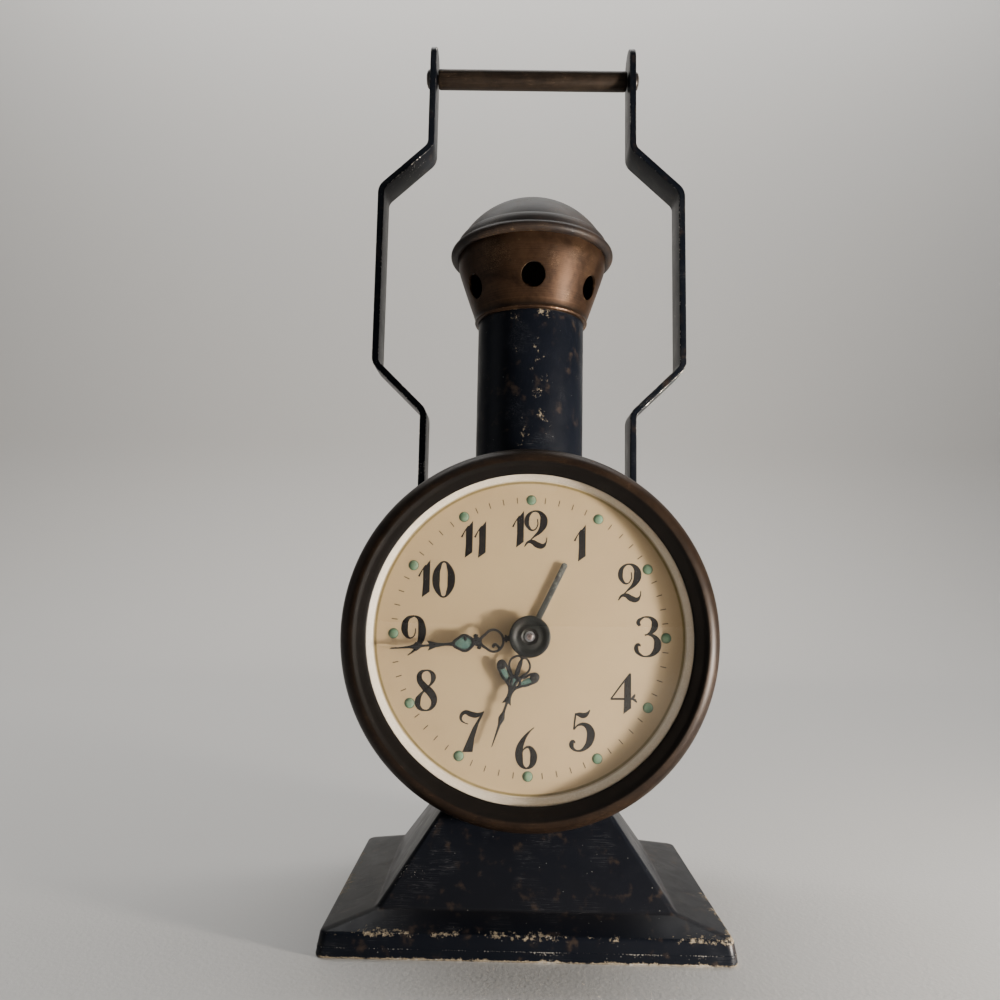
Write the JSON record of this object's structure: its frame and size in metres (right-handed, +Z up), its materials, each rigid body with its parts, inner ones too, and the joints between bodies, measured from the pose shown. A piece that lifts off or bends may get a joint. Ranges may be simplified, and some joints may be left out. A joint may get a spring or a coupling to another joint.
{
  "type": "novelty alarm clock",
  "caption": "Wind-up alarm clock shaped as a railway hand lantern: round dial drum on a pyramid base, vented chimney and a strap carrying handle with a rolling grip.",
  "frame": {"origin": "on the table under the middle of the whole clock, keys and knobs included", "axes": "+Z up, the dial faces -Y, +X to the right of someone reading the dial"},
  "size_m": [0.0966, 0.0776, 0.2557],
  "materials": {
    "black_enamel": "worn semi-gloss black enamel, chipped at the edges",
    "cone_brass": "stained, lacquered brass",
    "dome_bronze": "dark aged bronze with worn patches",
    "bezel_bronze": "dark brown bronze, rubbed on the rim",
    "lens_clear": "clear domed lens",
    "dial_cream": "matt cream paint",
    "ring_white": "matt white",
    "lume_green": "pale green luminous paint",
    "hand_black": "black painted steel",
    "alarm_hand_grey": "blued grey steel",
    "grip_bronze": "brown bronze tube",
    "dark_rivet": "darkened steel",
    "knob_brass": "plain brass",
    "movement_brass": "brushed brass",
    "movement_steel": "turned steel",
    "bell_nickel": "nickel-plated steel",
    "spring_steel": "blued spring steel",
    "fastener_zinc": "zinc-plated steel"
  },
  "bodies": {
    "case": {"base_shell": "black_enamel", "base_bolts": "fastener_zinc", "base_nuts": "fastener_zinc", "drum_case": "black_enamel", "rear_cover": "black_enamel", "rear_cover_screws": "fastener_zinc", "bezel": "bezel_bronze", "lens": "lens_clear", "dial_ring": "ring_white", "dial_plate": "dial_cream", "dial_lume_dots": "lume_green", "chimney_tube": "black_enamel", "chimney_cone": "cone_brass", "chimney_dome": "dome_bronze", "handle_strap_left": "black_enamel", "handle_strap_right": "black_enamel", "handle_foot_rivets": "dark_rivet", "handle_rod": "grip_bronze", "front_plate": "movement_brass", "back_plate": "movement_brass", "plate_pillars": "movement_steel", "pillar_nuts": "fastener_zinc", "cover_posts": "movement_steel", "movement_holder": "movement_steel", "holder_screws": "fastener_zinc", "time_mainspring": "spring_steel", "alarm_mainspring": "spring_steel", "hairspring": "spring_steel", "alarm_bell": "bell_nickel", "bell_post": "movement_steel"},
    "grip": {"grip_tube": "grip_bronze"},
    "minute_work": {"centre_arbor": "movement_steel", "minute_hand": "hand_black", "hand_hub": "hand_black", "time_set_knob": "knob_brass"},
    "hour_work": {"hour_wheel": "movement_brass", "hour_hand": "hand_black"},
    "minute_idler": {"minute_wheel": "movement_brass"},
    "alarm_setter": {"alarm_set_arbor": "movement_steel", "alarm_set_knob": "knob_brass"},
    "alarm_pointer": {"alarm_wheel": "movement_brass", "alarm_hand": "alarm_hand_grey"},
    "time_winder": {"time_winding_arbor": "movement_steel", "time_key": "knob_brass"},
    "alarm_winder": {"alarm_winding_arbor": "movement_steel", "alarm_key": "knob_brass"},
    "fourth_arbor": {"fourth_wheel": "movement_brass"},
    "third_arbor": {"third_wheel": "movement_brass"},
    "centre_train": {"centre_wheel": "movement_brass"},
    "time_great": {"time_great_wheel": "movement_brass"},
    "escape_arbor": {"escape_wheel": "movement_brass"},
    "lever": {"pallet_lever": "movement_steel"},
    "balance": {"balance_wheel": "movement_brass"},
    "alarm_great": {"alarm_great_wheel": "movement_brass"},
    "alarm_escape": {"alarm_escape_wheel": "movement_brass"},
    "hammer": {"alarm_hammer": "movement_steel"},
    "regulator_index": {"regulator": "movement_steel"},
    "stop": {"stop_button": "knob_brass"}
  },
  "joints": [
    {"name": "minute_hand_set", "type": "hinge", "parent": "case", "child": "minute_work", "pos_m": [0, -0.00575, 0.0697], "axis": [0, 1, 0], "continuous": true},
    {"name": "hour_hand_turn", "type": "hinge", "parent": "case", "child": "hour_work", "pos_m": [0, -0.00575, 0.0697], "axis": [0, 1, 0], "continuous": true},
    {"name": "minute_wheel_turn", "type": "hinge", "parent": "case", "child": "minute_idler", "pos_m": [0, -0.00575, 0.0797], "axis": [0, 1, 0], "continuous": true},
    {"name": "alarm_knob_turn", "type": "hinge", "parent": "case", "child": "alarm_setter", "pos_m": [0, -0.00575, 0.0547], "axis": [0, 1, 0], "continuous": true},
    {"name": "alarm_hand_turn", "type": "hinge", "parent": "case", "child": "alarm_pointer", "pos_m": [0, -0.00575, 0.0697], "axis": [0, 1, 0], "continuous": true},
    {"name": "time_key_wind", "type": "hinge", "parent": "case", "child": "time_winder", "pos_m": [-0.01861, -0.00575, 0.06293], "axis": [0, 1, 0], "range_deg": [0, 1530]},
    {"name": "alarm_key_wind", "type": "hinge", "parent": "case", "child": "alarm_winder", "pos_m": [0.01861, -0.00575, 0.06293], "axis": [0, 1, 0], "range_deg": [0, 1530]},
    {"name": "fourth_wheel_run", "type": "hinge", "parent": "case", "child": "fourth_arbor", "pos_m": [-0.00367, -0.00575, 0.08962], "axis": [0, 1, 0], "continuous": true},
    {"name": "third_wheel_run", "type": "hinge", "parent": "case", "child": "third_arbor", "pos_m": [-0.00962, -0.00575, 0.07932], "axis": [0, 1, 0], "continuous": true},
    {"name": "centre_wheel_run", "type": "hinge", "parent": "case", "child": "centre_train", "pos_m": [0, -0.00575, 0.0697], "axis": [0, 1, 0], "continuous": true},
    {"name": "time_great_run", "type": "hinge", "parent": "case", "child": "time_great", "pos_m": [-0.01861, -0.00575, 0.06293], "axis": [0, 1, 0], "continuous": true},
    {"name": "escape_wheel_run", "type": "hinge", "parent": "case", "child": "escape_arbor", "pos_m": [0.00507, -0.00575, 0.0928], "axis": [0, 1, 0], "continuous": true},
    {"name": "lever_rock", "type": "hinge", "parent": "case", "child": "lever", "pos_m": [0.0072, -0.00575, 0.1007], "axis": [0, 1, 0], "range_deg": [-6, 6]},
    {"name": "balance_swing", "type": "hinge", "parent": "case", "child": "balance", "pos_m": [-0.0065, -0.00575, 0.1007], "axis": [0, 1, 0], "range_deg": [-135, 135], "stiffness_Nm_per_rad": 0.000017},
    {"name": "alarm_great_run", "type": "hinge", "parent": "case", "child": "alarm_great", "pos_m": [0.01861, -0.00575, 0.06293], "axis": [0, 1, 0], "continuous": true},
    {"name": "alarm_escape_run", "type": "hinge", "parent": "case", "child": "alarm_escape", "pos_m": [0.02184, -0.00575, 0.08124], "axis": [0, 1, 0], "continuous": true},
    {"name": "hammer_strike", "type": "hinge", "parent": "case", "child": "hammer", "pos_m": [0.0305, -0.00575, 0.0842], "axis": [0, 1, 0], "range_deg": [-5, 10]},
    {"name": "regulator_turn", "type": "hinge", "parent": "case", "child": "regulator_index", "pos_m": [-0.0065, -0.00575, 0.1007], "axis": [0, 1, 0], "range_deg": [-18, 18]},
    {"name": "stop_button_push", "type": "slide", "parent": "case", "child": "stop", "axis": [0, -1, 0], "range_m": [0, 0.003]},
    {"name": "grip_roll", "type": "hinge", "parent": "case", "child": "grip", "pos_m": [0, 0.01975, 0.2456], "axis": [1, 0, 0], "continuous": true}
  ],
  "couplings": [
    {"joint": "hour_hand_turn", "follows": "minute_hand_set", "ratio": 0.083333},
    {"joint": "minute_wheel_turn", "follows": "minute_hand_set", "ratio": -0.33333},
    {"joint": "alarm_hand_turn", "follows": "alarm_knob_turn", "ratio": -0.25},
    {"joint": "third_wheel_run", "follows": "fourth_wheel_run", "ratio": -0.13333},
    {"joint": "centre_wheel_run", "follows": "fourth_wheel_run", "ratio": 0.017778},
    {"joint": "time_great_run", "follows": "fourth_wheel_run", "ratio": -0.0039506},
    {"joint": "escape_wheel_run", "follows": "fourth_wheel_run", "ratio": -6.75},
    {"joint": "alarm_escape_run", "follows": "alarm_great_run", "ratio": -4.1667}
  ]
}
